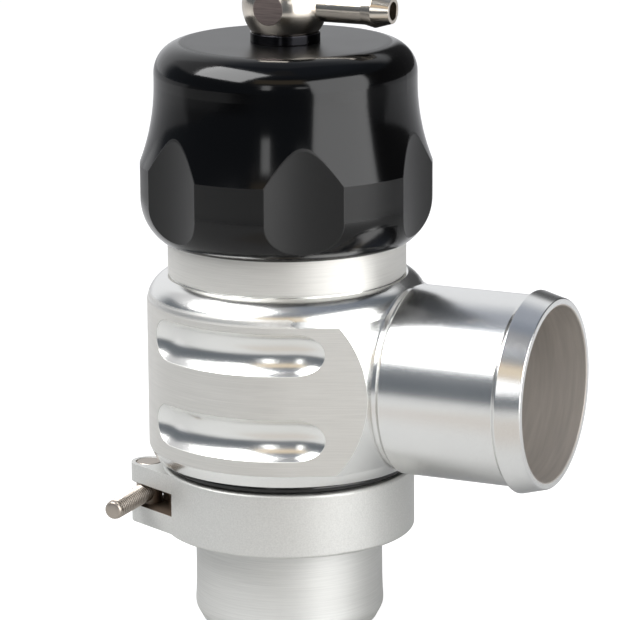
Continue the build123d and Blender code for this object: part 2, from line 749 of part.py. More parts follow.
with BuildPart() as cap:
    with BuildSketch(Plane.XZ):
        with BuildLine():
            foot = RadiusArc((cap_foot_r, cap_bottom), (cap_skirt_r, skirt_start), -cap_foot_arc_r)
            skirt = Line(foot @ 1, (cap_skirt_r, skirt_end))
            flare = RadiusArc(skirt @ 1, (cap_crown_r, flare_end), flare_r)
            crown = Line(flare @ 1, (cap_crown_r, cap_top - cap_top_arc_r))
            edge = RadiusArc(crown @ 1, (cap_crown_r - cap_top_arc_r, cap_top), -cap_top_arc_r)
            Polyline(
                edge @ 1,
                (cap_top_hole_r, cap_top),
                (cap_top_hole_r, ceiling_z),
                (cap_upper_bore_r, ceiling_z),
                (cap_upper_bore_r, cap_thread_end),
                (thread_neck_r + fit_gap, cap_thread_end),
                (thread_neck_r + fit_gap, cap_thread_start),
                (cap_bore_r, cap_thread_start),
                (cap_bore_r, cap_bottom + cap_mouth_chamfer),
                (cap_bore_r + cap_mouth_chamfer, cap_bottom),
                foot @ 0,
            )
        make_face()
    revolve(axis=Axis.Z)
    with BuildSketch(Plane.XY.offset(cap_bottom)):
        with PolarLocations(scallop_floor_r + scallop_r, scallop_count, start_angle=scallop_azimuth):
            Circle(scallop_r)
    extrude(amount=cap_top - cap_bottom, mode=Mode.SUBTRACT)
cap.part.label = "cap"
export_step(cap.part, "parts/cap.step")

# Hollow bolt: screws into the cap and feeds the fitting through a cross hole
bolt_r = cap_top_hole_r - fit_gap
bolt_bottom = ceiling_z + bolt_end_clearance
with BuildPart() as banjo_bolt:
    with BuildSketch(Plane.XY.offset(bolt_bottom)):
        Circle(bolt_r)
    extrude(amount=head_bottom - bolt_bottom)
    with BuildSketch(Plane.XY.offset(head_bottom)):
        RegularPolygon(bolt_head_across / 2, 6, major_radius=False)
    extrude(amount=bolt_head_height)
    head_cone_r = bolt_head_across / sqrt(3)
    with BuildSketch(Plane.XZ):
        with BuildLine():
            Polyline(
                (head_cone_r, head_bottom + bolt_head_height),
                (head_cone_r, head_bottom + bolt_head_height - bolt_head_chamfer),
                (head_cone_r - 2 * bolt_head_chamfer, head_bottom + bolt_head_height),
                close=True,
            )
        make_face()
    revolve(axis=Axis.Z, mode=Mode.SUBTRACT)
    with BuildSketch(Plane.XY.offset(bolt_bottom)):
        Circle(bolt_bore_r)
    extrude(amount=ball_z + bolt_bore_stop - bolt_bottom, mode=Mode.SUBTRACT)
    with BuildSketch(Plane.YZ):
        with Locations((0, ball_z)):
            Circle(bolt_cross_hole_r)
    extrude(amount=bolt_r, both=True, mode=Mode.SUBTRACT)
banjo_bolt.part.label = "banjo_bolt"
export_step(banjo_bolt.part, "parts/banjo_bolt.step")

# Sealing washers below and above the fitting
for washer_name, washer_z, washer_thickness in (
    ("washer_lower", cap_top, lower_washer_thickness),
    ("washer_upper", upper_flat_z, upper_washer_thickness),
):
    with BuildPart() as washer:
        with BuildSketch(Plane.XY.offset(washer_z + face_gap)):
            Circle(washer_r)
            Circle(bolt_r + fit_gap, mode=Mode.SUBTRACT)
        extrude(amount=washer_thickness - 2 * face_gap)
    washer.part.label = washer_name
    export_step(washer.part, f"parts/{washer_name}.step")

# Vacuum fitting: ball with a sawn flat, flats above and below, and a hose barb
with BuildPart() as vacuum_fitting:
    with BuildSketch(Plane.XZ):
        with BuildLine():
            Polyline(
                (0, ball_z),
                (0, ball_z + barb_stem_r),
                (barb_bead_start, ball_z + barb_stem_r),
                (barb_crest_x, ball_z + barb_crest_r),
                (barb_tip_x, ball_z + barb_tip_r),
                (barb_tip_x, ball_z),
                close=True,
            )
        make_face()
    revolve(axis=Axis((0, 0, ball_z), (1, 0, 0)))
    with Locations((0, 0, ball_z)):
        Sphere(ball_r)
    with BuildSketch(Plane.XY.offset(upper_flat_z)):
        Circle(ball_r)
    extrude(amount=ball_r, mode=Mode.SUBTRACT)
    with BuildSketch(Plane.XY.offset(ball_z - ball_flat_below)):
        Circle(ball_r)
    extrude(amount=-ball_r, mode=Mode.SUBTRACT)
    with BuildSketch(Plane.XZ.offset(ball_side_flat)):
        with Locations((0, ball_z)):
            Circle(ball_r)
    extrude(amount=ball_r, mode=Mode.SUBTRACT)
    with BuildSketch(Plane.XY.offset(ball_z - ball_flat_below)):
        Circle(bolt_r + fit_gap)
    extrude(amount=ball_flat_below + ball_flat_above, mode=Mode.SUBTRACT)
    with BuildSketch(Plane.YZ):
        with Locations((0, ball_z)):
            Circle(barb_bore_r)
    extrude(amount=barb_tip_x, mode=Mode.SUBTRACT)
vacuum_fitting.part.label = "vacuum_fitting"
export_step(vacuum_fitting.part, "parts/vacuum_fitting.step")
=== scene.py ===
"""Blow off valve in turned aluminium with a black screwed cap, dressed for rendering."""

from __future__ import annotations

import logging
import math
from collections.abc import Callable
from dataclasses import dataclass
from enum import Enum

import bpy
from mathutils import Matrix, Vector

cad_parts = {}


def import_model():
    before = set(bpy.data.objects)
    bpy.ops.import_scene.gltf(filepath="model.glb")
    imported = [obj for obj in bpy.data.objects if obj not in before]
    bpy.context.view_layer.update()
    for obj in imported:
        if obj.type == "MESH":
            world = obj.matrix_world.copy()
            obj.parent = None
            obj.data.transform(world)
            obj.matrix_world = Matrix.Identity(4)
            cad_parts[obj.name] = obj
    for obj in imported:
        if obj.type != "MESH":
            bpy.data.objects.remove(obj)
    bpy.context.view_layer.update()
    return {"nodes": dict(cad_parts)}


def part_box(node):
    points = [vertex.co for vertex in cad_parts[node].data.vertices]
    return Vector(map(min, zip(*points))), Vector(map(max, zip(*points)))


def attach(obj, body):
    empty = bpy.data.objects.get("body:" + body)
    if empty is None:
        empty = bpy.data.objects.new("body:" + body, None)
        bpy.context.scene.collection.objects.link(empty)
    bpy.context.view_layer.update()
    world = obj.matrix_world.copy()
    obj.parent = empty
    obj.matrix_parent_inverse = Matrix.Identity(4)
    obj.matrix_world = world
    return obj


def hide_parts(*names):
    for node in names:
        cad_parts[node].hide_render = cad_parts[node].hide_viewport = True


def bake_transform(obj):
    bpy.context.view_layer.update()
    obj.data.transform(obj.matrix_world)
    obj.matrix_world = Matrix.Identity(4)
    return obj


log = logging.getLogger("valve")

Colour = tuple[float, float, float]
Pair = tuple[float, float]

MM = 0.001
VALVE_AXIS = Vector((0.0, 0.0, 1.0))

# Place of the clamp screw's axis, height of the joint that it closes and of the outlet's axis, in millimetres
SCREW_X = -26.3
JOINT_Z = 25.45
OUTLET_Z = 51.83


# Modelling


def deselect_all() -> None:
    """Leaves nothing selected."""
    bpy.ops.object.select_all(action="DESELECT")


def choose(piece: bpy.types.Object) -> None:
    """Selects one piece and makes it the active one."""
    deselect_all()
    piece.select_set(True)
    bpy.context.view_layer.objects.active = piece


def apply_place(piece: bpy.types.Object) -> None:
    """Moves a piece's place, turn and scale into its mesh."""
    choose(piece)
    bpy.ops.object.transform_apply(location=True, rotation=True, scale=True)


def apply_modifier(piece: bpy.types.Object, kind: str, **settings: object) -> None:
    """Adds a modifier to a piece and applies it.

    Args:
        piece: The piece.
        kind: Modifier type.
        settings: The modifier's properties.
    """
    bpy.context.view_layer.objects.active = piece
    modifier = piece.modifiers.new(kind.lower(), kind)
    for name, setting in settings.items():
        setattr(modifier, name, setting)
    bpy.ops.object.modifier_apply(modifier=modifier.name)


def turn_outwards(fill: bool = False) -> None:
    """Turns the active piece's faces outwards, and closes its open ends first if asked."""
    bpy.ops.object.mode_set(mode="EDIT")
    bpy.ops.mesh.select_all(action="SELECT")
    if fill:
        bpy.ops.mesh.fill_holes(sides=0)
    bpy.ops.mesh.normals_make_consistent(inside=False)
    bpy.ops.object.mode_set(mode="OBJECT")


def cut(piece: bpy.types.Object, tool: bpy.types.Object) -> None:
    """Takes a tool's shape out of a piece, and removes the tool."""
    apply_modifier(piece, "BOOLEAN", operation="DIFFERENCE", object=tool, solver="EXACT")
    bpy.data.objects.remove(tool)


def shade(piece: bpy.types.Object, angle: float) -> None:
    """Shades a piece smooth up to an angle in degrees, with normals that follow its large faces."""
    choose(piece)
    bpy.ops.object.shade_smooth_by_angle(angle=math.radians(angle))
    apply_modifier(piece, "WEIGHTED_NORMAL", mode="FACE_AREA", weight=50, keep_sharp=True)


def round_edges(piece: bpy.types.Object, width: float, segments: int, angle: float) -> None:
    """Rounds a piece's sharp edges and shades it smooth.

    Args:
        piece: The piece.
        width: Width of the round, in millimetres.
        segments: Faces across the round.
        angle: Edges sharper than this many degrees are rounded.
    """
    settings = {"limit_method": "ANGLE", "angle_limit": math.radians(angle), "width": width * MM}
    apply_modifier(piece, "BEVEL", segments=segments, miter_outer="MITER_ARC", **settings)
    shade(piece, angle)


def draw_line(name: str, start: Vector, runs: list[Vector]) -> bpy.types.Object:
    """Draws a line of edges from run to run, and stays in edit mode.

    Args:
        name: Name of the piece.
        start: First point, in metres.
        runs: Steps from each point to the next, in metres.

    Returns:
        The piece, in edit mode.
    """
    deselect_all()
    bpy.ops.mesh.primitive_plane_add(size=MM, location=start)
    piece = bpy.context.object
    piece.name = name
    piece.data.name = name
    apply_place(piece)
    bpy.ops.object.mode_set(mode="EDIT")
    bpy.ops.mesh.select_mode(type="VERT")
    bpy.ops.mesh.select_all(action="SELECT")
    bpy.ops.mesh.merge(type="CENTER")
    for run in runs:
        bpy.ops.mesh.extrude_region_move(TRANSFORM_OT_translate={"value": run})
    return piece


@dataclass
class Outline:
    """A half section, drawn from point to point in millimetres as radius and place along the axis."""

    points: list[Pair]

    def to(self, *points: Pair) -> Outline:
        """Draws straight runs to the given points."""
        self.points.extend(points)
        return self

    def arc(self, centre: Pair, start: float, end: float, radius: float, steps: int) -> Outline:
        """Draws an arc.

        Args:
            centre: Centre of the arc.
            start: Start angle in degrees from the outward direction.
            end: End angle.
            radius: Radius.
            steps: Number of runs.

        Returns:
            The outline.
        """
        for step in range(steps + 1):
            angle = math.radians(start + (end - start) * step / steps)
            outward = centre[0] + radius * math.cos(angle)
            self.points.append((outward, centre[1] + radius * math.sin(angle)))
        return self


class Lathe(Enum):
    """The two axes that pieces are turned on."""

    UPRIGHT = "Z"
    SIDEWAYS = "X"

    def point(self, radius: float, along: float, height: float) -> Vector:
        """Point of a half section in the row frame, in metres."""
        if self is Lathe.UPRIGHT:
            return Vector((radius, 0.0, along)) * MM
        return Vector((along, 0.0, height + radius)) * MM

    def turn(self, name: str, outline: Outline, steps: int, height: float = 0.0) -> bpy.types.Object:
        """Turns a closed half section into a piece.

        Args:
            name: Name of the piece.
            outline: The half section; its last point joins its first.
            steps: Faces round the axis.
            height: Height of a sideways axis, in millimetres.

        Returns:
            The turned piece.
        """
        corners = [self.point(radius, along, height) for radius, along in outline.points]
        corners.append(corners[0])
        piece = draw_line(name, corners[0], [there - here for here, there in zip(corners, corners[1:])])
        bpy.ops.mesh.select_all(action="SELECT")
        bpy.ops.mesh.remove_doubles(threshold=1e-7)
        centre = (0.0, 0.0, height * MM)
        axis = (0.0, 0.0, 1.0) if self is Lathe.UPRIGHT else (1.0, 0.0, 0.0)
        bpy.ops.mesh.spin(steps=steps, angle=2 * math.pi, center=centre, axis=axis)
        bpy.ops.mesh.select_all(action="SELECT")
        bpy.ops.mesh.remove_doubles(threshold=1e-6)
        bpy.ops.mesh.normals_make_consistent(inside=False)
        bpy.ops.object.mode_set(mode="OBJECT")
        return piece


# Shader graphs


class Value:
    """An output socket of a graph that Python arithmetic turns into nodes."""

    def __init__(self, graph: Graph, socket: bpy.types.NodeSocket) -> None:
        """Keeps the graph and the socket."""
        self.graph = graph
        self.socket = socket

    def _math(self, operation: str, *operands: Value | float) -> Value:
        """Adds one Math node on the given operands."""
        return self.graph.node("ShaderNodeMath", {"operation": operation}, dict(enumerate(operands)))

    def __add__(self, other: Value | float) -> Value:
        """Sum."""
        return self._math("ADD", self, other)

    def __radd__(self, other: float) -> Value:
        """Sum with a number on the left."""
        return self._math("ADD", other, self)

    def __sub__(self, other: Value | float) -> Value:
        """Difference."""
        return self._math("SUBTRACT", self, other)

    def __rsub__(self, other: float) -> Value:
        """Difference from a number."""
        return self._math("SUBTRACT", other, self)

    def __mul__(self, other: Value | float) -> Value:
        """Product."""
        return self._math("MULTIPLY", self, other)

    def __rmul__(self, other: float) -> Value:
        """Product with a number on the left."""
        return self._math("MULTIPLY", other, self)

    def __pow__(self, other: Value | float) -> Value:
        """Power."""
        return self._math("POWER", self, other)

    def absolute(self) -> Value:
        """Absolute value."""
        return self._math("ABSOLUTE", self)

    def cosine(self) -> Value:
        """Cosine of an angle in radians."""
        return self._math("COSINE", self)

    def sine(self) -> Value:
        """Sine of an angle in radians."""
        return self._math("SINE", self)

    def arcsine(self) -> Value:
        """Angle in radians whose sine this is."""
        return self._math("ARCSINE", self)

    def angle(self, x: Value) -> Value:
        """Angle in radians of the point that has this as its y."""
        return self._math("ARCTAN2", self, x)

    def length(self, other: Value) -> Value:
        """Length of the vector that has this and another part."""
        return (self * self + other * other) ** 0.5

    def wrapped(self, low: float, high: float) -> Value:
        """Value brought between low and high by whole spans."""
        return self._math("WRAP", self, high, low)

    def rise(self, low: float, high: float) -> Value:
        """Smooth step from 0 at low to 1 at high.

        Args:
            low: Value where the step starts.
            high: Value where the step ends.

        Returns:
            The step, between 0 and 1.
        """
        settings = {"interpolation_type": "SMOOTHSTEP"}
        inputs = {"Value": self, "From Min": low, "From Max": high}
        return self.graph.node("ShaderNodeMapRange", settings, inputs)

    def step(self, edge: float, soft: float = 0.1) -> Value:
        """Smooth step over an edge in millimetres, which starts and ends a soft width from it."""
        return self.rise((edge - soft) * MM, (edge + soft) * MM)

    def within(self, low: float, high: float, soft: float) -> Value:
        """Window that is 1 between low and high, each edge softened over a width."""
        half = soft / 2
        return self.rise(low - half, low + half) * (1 - self.rise(high - half, high + half))

    def blend(self, first: Value | tuple, second: Value | tuple) -> Value:
        """Colour between two colours by this share.

        Args:
            first: Colour at 0.
            second: Colour at 1.

        Returns:
            The mixed colour.
        """
        ends = [(*end[:3], 1.0) if isinstance(end, tuple) else end for end in (first, second)]
        inputs = {0: self, 6: ends[0], 7: ends[1]}
        return self.graph.node("ShaderNodeMix", {"data_type": "RGBA"}, inputs, 2)

    def scaled(self, scale: tuple[float, float, float]) -> Value:
        """Vector or colour times a fixed one, part by part."""
        return self.graph.node("ShaderNodeVectorMath", {"operation": "MULTIPLY"}, {0: self, 1: scale})

    def noise(self, scale: float, detail: float = 3.0, rough: float = 0.6) -> Value:
        """Noise at this place, about 0.5 on average."""
        inputs = {"Vector": self, "Scale": scale, "Detail": detail, "Roughness": rough}
        return self.graph.node("ShaderNodeTexNoise", inputs=inputs)

    def bump(self, height: Value, depth: float) -> Value:
        """This normal, bumped by a height in 0..1 that is a depth in metres."""
        inputs = {"Height": height, "Distance": depth, "Strength": 1.0, "Normal": self}
        return self.graph.node("ShaderNodeBump", inputs=inputs)

    def once(self, name: str, build: Callable[[], Value]) -> Value:
        """Builds a value of this graph the first time, and gives the same one afterwards.

        Args:
            name: Name to keep it by.
            build: Function that builds it.

        Returns:
            The kept value.
        """
        if name not in self.graph.kept:
            self.graph.kept[name] = build()
        return self.graph.kept[name]

    def split(self) -> tuple[Value, Value, Value]:
        """Splits this vector, with one node for each source.

        Returns:
            Its x, y and z.
        """
        key = "parts of " + self.socket.node.name
        x = self.once(key, lambda: self.graph.node("ShaderNodeSeparateXYZ", inputs={0: self}))
        outputs = x.socket.node.outputs
        return x, Value(self.graph, outputs[1]), Value(self.graph, outputs[2])


class Graph:
    """The node tree of a material or of the world."""

    def __init__(self, tree: bpy.types.NodeTree) -> None:
        """Empties the tree."""
        self.tree = tree
        self.kept: dict[str, Value] = {}
        tree.nodes.clear()

    def node(
        self,
        kind: str,
        settings: dict[str, object] | None = None,
        inputs: dict[int | str, object] | None = None,
        output: int | str = 0,
    ) -> Value:
        """Adds a node.

        Args:
            kind: Node type.
            settings: Properties of the node, set before its sockets.
            inputs: Numbers, colours or values by socket name or index.
            output: Name or index of the output to return.

        Returns:
            The chosen output.
        """
        made = self.tree.nodes.new(kind)
        for name, setting in (settings or {}).items():
            setattr(made, name, setting)
        for name, given in (inputs or {}).items():
            socket = made.inputs[name]
            if isinstance(given, Value):
                self.tree.links.new(given.socket, socket)
            else:
                socket.default_value = given
        return Value(self, made.outputs[output])

    def place(self) -> Value:
        """Object coordinates, in metres in the row frame."""
        return self.node("ShaderNodeTexCoord", output="Object")

    def rounded(self, radius: float) -> Value:
        """Normal that rounds sharp edges by a radius in metres."""
        return self.node("ShaderNodeBevel", {"samples": 6}, {"Radius": radius})

    def show(self, surface: Value, kind: str = "ShaderNodeOutputMaterial") -> None:
        """Links a shader to a new output node."""
        output = self.tree.nodes.new(kind)
        self.tree.links.new(surface.socket, output.inputs["Surface"])

    def cover(self, inputs: dict[str, object]) -> None:
        """Makes the surface one Principled shader with the given inputs."""
        self.show(self.node("ShaderNodeBsdfPrincipled", inputs=inputs))


def new_material(name: str) -> tuple[bpy.types.Material, Graph]:
    """Adds an empty material.

    Args:
        name: Name of the material.

    Returns:
        The material and its graph.
    """
    material = bpy.data.materials.new(name)
    material.use_nodes = True
    return material, Graph(material.node_tree)


def toned(colour: Colour, factor: float) -> Colour:
    """Colour times a number."""
    return tuple(part * factor for part in colour)


# Finishes. Their zones are in millimetres and degrees, and their methods take a place in metres


@dataclass(frozen=True)
class Anodised:
    """Black anodised aluminium, or an even rubber or plastic. Edges and marks are in metres."""

    name: str
    colour: Colour = (0.0004, 0.0004, 0.0005)
    rough: float = 0.2
    ior: float = 1.6
    tone: float = 1.3
    tone_scale: float = 60.0
    smear: float = 0.06
    smear_scale: float = 80.0
    edge_radius: float = 0.0001
    mark_scale: tuple[float, float, float] = (60.0, 60.0, 30000.0)
    mark_depth: float = 4e-7

    def tint(self, place: Value) -> Value:
        """Base colour with slow, faint changes."""
        cloud = place.noise(self.tone_scale, rough=0.5)
        return cloud.blend(self.colour, toned(self.colour, self.tone))

    def roughness(self, place: Value) -> Value:
        """Roughness with a faint smear."""
        return (place.noise(self.smear_scale, rough=0.5) - 0.5) * self.smear + self.rough

    def make(self) -> bpy.types.Material:
        """Builds the material.

        Returns:
            The finished material.
        """
        material, graph = new_material(self.name)
        place = graph.place()
        marks = place.scaled(self.mark_scale).noise(1.0, 2.0)
        shader = {
            "Base Color": self.tint(place),
            "Roughness": self.roughness(place),
            "IOR": self.ior,
            "Normal": graph.rounded(self.edge_radius).bump(marks, self.mark_depth),
        }
        graph.cover(shader)
        return material


@dataclass(frozen=True)
class CapAnodised(Anodised):
    """The cap's black: polished flare and crown, satin skirt, scallops and top face."""

    smear: float = 0.04
    smear_scale: float = 90.0
    satin: float = 0.38
    top: float = 0.31
    milled_colour: Colour = (0.008, 0.008, 0.008)
    skirt_colour: Colour = (0.0035, 0.0035, 0.0035)
    skirt_top: float = 93.7
    skirt_bottom: float = 86.5
    skirt_fade: float = 2.0
    top_face: float = 117.45
    scallop_count: int = 6
    scallop_azimuth: float = 2.0
    scallop_centre: float = 56.9
    scallop_radius: float = 30.0

    def skirt(self, place: Value) -> Value:
        """Share that is 1 on the skirt, and fades below it."""
        z = place.split()[2]
        return z.step(self.skirt_bottom, self.skirt_fade) * (1 - z.step(self.skirt_top))

    def milled(self, place: Value) -> Value:
        """Finds the scallops.

        Args:
            place: Place on the surface.

        Returns:
            Share that is 1 on them.
        """
        x, y, _ = place.split()
        radius = x.length(y)
        half = math.pi / self.scallop_count
        folded = (y.angle(x) - math.radians(self.scallop_azimuth)).wrapped(-half, half)
        away = radius * folded.cosine() - self.scallop_centre * MM
        aside = radius * folded.sine()
        distance = away.length(aside) - self.scallop_radius * MM
        return distance.within(-0.1 * MM, 0.1 * MM, 0.04 * MM)

    def tint(self, place: Value) -> Value:
        """Base colour, a little greyer where it is dull."""
        skirted = self.skirt(place).blend(super().tint(place), self.skirt_colour)
        return self.milled(place).blend(skirted, self.milled_colour)

    def roughness(self, place: Value) -> Value:
        """Mixes the roughness of each zone with a faint smear.

        Args:
            place: Place on the surface.

        Returns:
            The roughness.
        """
        face = place.split()[2].rise((self.top_face - 0.1) * MM, self.top_face * MM)
        dull = 1 - (1 - self.milled(place)) * (1 - self.skirt(place))
        polished = super().roughness(place)
        return polished + dull * (self.satin - self.rough) + face * (self.top - self.rough)


@dataclass(frozen=True)
class Metal:
    """A bare or plated metal with turning marks or a blasted grain.

    The edge radius and the depths of marks and grain are in metres, and scales are per metre. Tone, streak
    and speckle are how far the colour changes, and bare is the share of mirror reflection.
    """

    name: str
    colour: Colour
    rough: float
    axis: Lathe = Lathe.UPRIGHT
    mark_depth: float = 0.0
    grain_depth: float = 0.0
    grain_scale: float = 6000.0
    edge_radius: float = 0.00012
    tone: float = 0.05
    tone_scale: float = 45.0
    streak: float = 0.0
    speckle: float = 0.0
    speckle_scale: float = 3200.0
    smear: float = 0.2
    smear_scale: float = 90.0
    drawn: float = 0.0
    bare: float = 1.0

    def make(self) -> bpy.types.Material:
        """Builds the material from its colour, roughness, reflection and normal.

        Returns:
            The finished material.
        """
        material, graph = new_material(self.name)
        place = graph.place()
        shader = {
            "Base Color": self.tint(place),
            "Roughness": self.roughness(place),
            "Metallic": self.metallic(place),
            "Anisotropic": self.drawn,
            "Anisotropic Rotation": 0.25,
            "Normal": self.normal(place),
        }
        graph.cover(shader)
        return material

    def lines(self, place: Value, along: float, across: float, detail: float, rough: float) -> Value:
        """Stretches a noise into lines that run round the turned axis.

        Args:
            place: Place on the surface.
            along: Scale along the axis.
            across: Scale across the axis.
            detail: Detail of the noise.
            rough: Roughness of the noise.

        Returns:
            The lines, about 0.5 on average.
        """
        scale = (across, across, along) if self.axis is Lathe.UPRIGHT else (along, across, across)
        return place.scaled(scale).noise(1.0, detail, rough)

    def tint(self, place: Value) -> Value:
        """Varies the base colour by slow changes of tone, fine streaks and speckles.

        Args:
            place: Place on the surface.

        Returns:
            The colour.
        """
        share = (place.noise(self.tone_scale) - 0.5) * self.tone
        if self.streak:
            share = share + (self.lines(place, 4500.0, 90.0, 3.0, 0.65) - 0.5) * self.streak
        if self.speckle:
            share = share + (place.noise(self.speckle_scale, 2.0, 0.7) - 0.5) * self.speckle
        return (share + 0.5).blend(toned(self.colour, 0.5), toned(self.colour, 1.5))

    def roughness(self, place: Value) -> Value:
        """Roughness with a faint smear."""
        return (place.noise(self.smear_scale) - 0.5) * (self.smear * self.rough) + self.rough

    def metallic(self, place: Value) -> Value | float:
        """Share of mirror reflection; the rest is a dull, even sheen."""
        return self.bare

    def normal(self, place: Value) -> Value:
        """Lays the marks and the grain on rounded edges.

        Args:
            place: Place on the surface.

        Returns:
            The normal.
        """
        normal = place.graph.rounded(self.edge_radius)
        if self.mark_depth:
            normal = normal.bump(self.lines(place, 40000.0, 60.0, 2.0, 0.6), self.mark_depth)
        if self.grain_depth:
            normal = normal.bump(place.noise(self.grain_scale, 2.0), self.grain_depth)
        return normal


@dataclass(frozen=True)
class BodyAluminium(Metal):
    """Body finish: dull, finely turned wall; polished shoulder, dome, foot and finger grooves."""

    wall_rough: float = 0.5
    wall_bare: float = 0.8
    wall_colour: Colour = (0.75, 0.73875, 0.72375)
    wall_radius: float = 28.0
    wall_bottom: float = 36.5
    wall_top: float = 68.9
    break_start: float = 66.2
    break_depth: float = 0.6
    flank_azimuth: float = 65.2
    collar_bottom: float = 71.2

    def wall(self, place: Value) -> Value:
        """Finds the round wall and the flat flanks of the body.

        Args:
            place: Place on the surface.

        Returns:
            Share that is 1 on them.
        """
        x, y, z = place.split()
        lean = math.radians(self.flank_azimuth)
        flank = x * math.cos(lean) + y.absolute() * math.sin(lean)
        past = (y.absolute() - x * math.tan(lean)).step(0.0)
        out = flank + past * (x.length(y) - flank)
        slack = z.rise(self.break_start * MM, self.wall_top * MM) * (self.break_depth * MM)
        on_wall = (out + slack).rise((self.wall_radius - 0.12) * MM, (self.wall_radius - 0.04) * MM)
        return on_wall * z.within(self.wall_bottom * MM, self.wall_top * MM, 0.15 * MM)

    def collar(self, place: Value) -> Value:
        """Share that is 1 on the collar under the cap."""
        return place.split()[2].rise(self.collar_bottom * MM, (self.collar_bottom + 0.1) * MM)

    def dull(self, place: Value) -> Value:
        """Share that is 1 on the wall, the flanks and the collar."""
        return place.once("dull", lambda: self.wall(place) + self.collar(place))

    def tint(self, place: Value) -> Value:
        """Base colour, streaked on the wall and clean where it is polished."""
        clean = place.noise(self.tone_scale).blend(self.colour, toned(self.colour, 1.04))
        return self.dull(place).blend(clean, super().tint(place).scaled(self.wall_colour))

    def roughness(self, place: Value) -> Value:
        """Roughness, duller on the wall."""
        return self.dull(place) * (self.wall_rough - self.rough) + super().roughness(place)

    def metallic(self, place: Value) -> Value:
        """Share of mirror reflection, less on the wall."""
        return 1 - self.dull(place) * (1 - self.wall_bare)


@dataclass(frozen=True)
class OutletAluminium(Metal):
    """Satin outlet tube with a dull, warm bore."""

    bore: float = 17.6
    bore_colour: Colour = (0.49, 0.455, 0.42)
    bore_rough: float = 0.55
    bore_bare: float = 0.55

    def away(self, place: Value) -> Value:
        """Distance from the tube's axis."""
        _, y, z = place.split()
        return y.length(z - OUTLET_Z * MM)

    def inside(self, place: Value) -> Value:
        """Share that is 1 in the bore."""
        return place.once("inside", lambda: 1 - self.away(place).step(self.bore))

    def tint(self, place: Value) -> Value:
        """Mixes the base colour with the bore's warm, cloudy one.

        Args:
            place: Place on the surface.

        Returns:
            The colour.
        """
        lines = self.lines(place, 700.0, 60.0, 3.0, 0.6)
        warm = lines.blend(toned(self.bore_colour, 0.75), toned(self.bore_colour, 1.25))
        return self.inside(place).blend(super().tint(place), warm)

    def roughness(self, place: Value) -> Value:
        """Roughness, duller in the bore."""
        return self.inside(place) * (self.bore_rough - self.rough) + super().roughness(place)

    def metallic(self, place: Value) -> Value:
        """Share of mirror reflection, less in the bore."""
        return 1 - self.inside(place) * (1 - self.bore_bare)


@dataclass(frozen=True)
class RingAluminium(Metal):
    """Blasted clamp ring whose screw slot has painted shade inside, browned by a painted reflection of the
    screw.
    """

    slot_bottom: float = 23.1
    slot_top: float = 27.8
    slot_angle: float = 47.4
    # Colour of the painted shade in the slot, brown as a painted reflection of the screw
    slot_shade_colour: Colour = (0.22, 0.17, 0.13)

    def tint(self, place: Value) -> Value:
        """Paints shade and a brown reflection of the screw inside the slot by darkening the base colour.

        Args:
            place: Place on the surface.

        Returns:
            The colour.
        """
        x, y, z = place.split()
        level = z.within(self.slot_bottom * MM, self.slot_top * MM, 0.05 * MM)
        past = y.absolute() + x * math.tan(math.radians(self.slot_angle))
        # Mask of the painted shade and reflection inside the slot
        share = level * (1 - past.rise(-0.1 * MM, 0.0))
        return share.blend(super().tint(place), self.slot_shade_colour)


@dataclass(frozen=True)
class ScrewSteel(Metal):
    """Browned steel whose thread gets painted shade at its root."""

    # Radii between which the painted shade at the thread's root fades out, and where the thread ends
    root: float = 1.80
    crest: float = 1.94
    thread_end: float = -25.5

    def tint(self, place: Value) -> Value:
        """Paints shade in the thread by darkening the base colour towards its root.

        Args:
            place: Place on the surface.

        Returns:
            The colour.
        """
        x, y, z = place.split()
        radius = (x - SCREW_X * MM).length(z - JOINT_Z * MM)
        # Mask of the painted shade in the thread's root
        root = y.step(self.thread_end, 0.05) * (1 - radius.rise(self.root * MM, self.crest * MM))
        return root.blend(super().tint(place), toned(self.colour, 0.3))


@dataclass(frozen=True)
class NickelPlate(Metal):
    """Bright nickel with the brown, brushed end of the fitting's sawn flat."""

    flat_y: float = -7.86
    flat_colour: Colour = (0.30, 0.245, 0.23)
    flat_rough: float = 0.42

    def flat(self, place: Value) -> Value:
        """Share that is 1 on the sawn flat."""
        return 1 - place.split()[1].step(self.flat_y, 0.03)

    def tint(self, place: Value) -> Value:
        """Mixes the base colour with the flat's brushed brown.

        Args:
            place: Place on the surface.

        Returns:
            The colour.
        """
        lines = self.lines(place, 5000.0, 150.0, 3.0, 0.7).rise(0.25, 0.75)
        brushed = lines.blend(toned(self.flat_colour, 0.6), self.flat_colour)
        return self.flat(place).blend(super().tint(place), brushed)

    def roughness(self, place: Value) -> Value:
        """Roughness, duller on the flat."""
        return self.flat(place) * (self.flat_rough - self.rough) + super().roughness(place)


